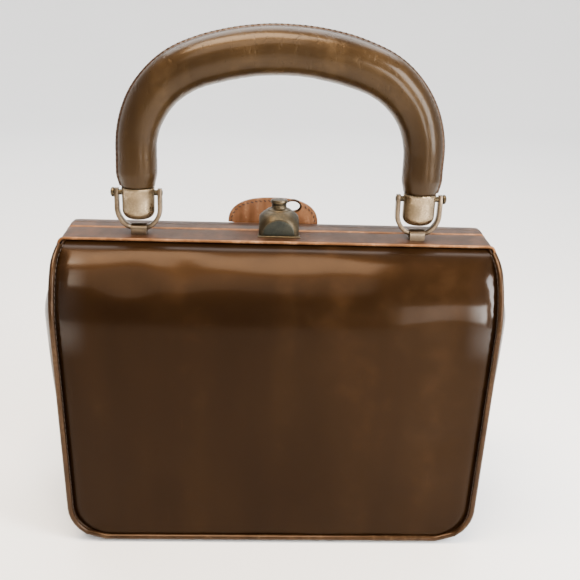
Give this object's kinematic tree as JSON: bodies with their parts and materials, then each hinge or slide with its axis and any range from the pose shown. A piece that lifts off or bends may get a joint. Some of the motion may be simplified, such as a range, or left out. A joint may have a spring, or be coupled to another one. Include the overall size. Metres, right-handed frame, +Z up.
{
  "type": "doctor bag",
  "caption": "Brown leather doctor bag with a hinged frame mouth, a round rolled handle on swinging bails, a domed spring clasp and a rear pull tab.",
  "frame": {"origin": "centre of the bag's footprint, on the surface that it stands on", "axes": "+X to the right seen from the front, -Y out of the front panel, +Z up"},
  "size_m": [0.2508, 0.103, 0.2985],
  "materials": {
    "body_leather": "glossy antiqued",
    "rail_leather": "waxed",
    "piping_leather": "glossy",
    "handle_leather": "glossy, creased",
    "tab_leather": "dry tan",
    "lining_suede": "matte suede",
    "board": "matte",
    "core_wood": "plain",
    "antique_brass": "aged, greenish",
    "antique_nickel": "aged nickel plate over brass",
    "frame_steel": "brushed",
    "spring_steel": "bright"
  },
  "bodies": {
    "shell": {"back_panel": "body_leather", "back_piping": "piping_leather", "base_board": "board", "base_feet": "antique_brass", "base_panel": "body_leather", "front_panel": "body_leather", "front_piping": "piping_leather", "inner_pocket": "lining_suede", "left_gusset": "body_leather", "left_pivot_pin": "antique_brass", "left_pivot_plate": "frame_steel", "left_pleat": "body_leather", "lining": "lining_suede", "right_gusset": "body_leather", "right_pivot_pin": "antique_brass", "right_pivot_plate": "frame_steel", "right_pleat": "body_leather"},
    "front_frame": {"front_frame_bow": "frame_steel", "front_shoulder": "body_leather", "front_rail_cover": "rail_leather", "front_left_gusset_wing": "body_leather", "front_right_gusset_wing": "body_leather", "left_bail_loop": "antique_nickel", "right_bail_loop": "antique_nickel", "clasp_plate": "antique_brass", "clasp_housing": "antique_brass", "clasp_collar": "antique_brass", "button_spring": "spring_steel", "latch_spring": "spring_steel"},
    "back_frame": {"back_frame_bow": "frame_steel", "back_shoulder": "body_leather", "back_rail_cover": "rail_leather", "back_left_gusset_wing": "body_leather", "back_right_gusset_wing": "body_leather", "catch_hook": "antique_brass", "tab_knuckles": "antique_brass", "tab_hinge_pin": "antique_brass"},
    "bails": {"left_bail": "antique_nickel", "right_bail": "antique_nickel"},
    "handle": {"handle_grip": "handle_leather", "handle_core": "core_wood", "left_ferrule": "antique_nickel", "right_ferrule": "antique_nickel", "left_handle_pin": "antique_nickel", "right_handle_pin": "antique_nickel"},
    "button": {"push_button": "antique_brass"},
    "latch": {"latch_bolt": "frame_steel"},
    "tab": {"pull_tab": "tab_leather"}
  },
  "joints": [
    {"name": "front_frame_opening", "type": "hinge", "parent": "shell", "child": "front_frame", "pos_m": [0, 0, 0.136], "axis": [1, 0, 0], "range_deg": [0, 45], "deforming": ["left_pleat", "right_pleat"]},
    {"name": "back_frame_opening", "type": "hinge", "parent": "shell", "child": "back_frame", "pos_m": [0, 0, 0.136], "axis": [1, 0, 0], "range_deg": [-45, 0]},
    {"name": "bail_swing", "type": "hinge", "parent": "front_frame", "child": "bails", "pos_m": [0, -0.011, 0.1853], "axis": [1, 0, 0], "range_deg": [-45, 45]},
    {"name": "handle_swing", "type": "hinge", "parent": "bails", "child": "handle", "pos_m": [0, -0.011, 0.2065], "axis": [1, 0, 0], "range_deg": [-60, 60]},
    {"name": "button_press", "type": "slide", "parent": "front_frame", "child": "button", "axis": [0, 0, -1], "range_m": [0, 0.0023], "stiffness_N_per_m": 300, "springref_m": -0.003, "deforming": ["button_spring"]},
    {"name": "latch_slide", "type": "slide", "parent": "front_frame", "child": "latch", "axis": [0, -1, 0], "range_m": [0, 0.0023], "deforming": ["latch_spring"]},
    {"name": "tab_swing", "type": "hinge", "parent": "back_frame", "child": "tab", "pos_m": [0, 0.0241, 0.1798], "axis": [1, 0, 0], "range_deg": [-80, 10]}
  ],
  "couplings": [
    {"joint": "back_frame_opening", "follows": "front_frame_opening", "ratio": -1},
    {"joint": "latch_slide", "follows": "button_press", "ratio": 1}
  ]
}
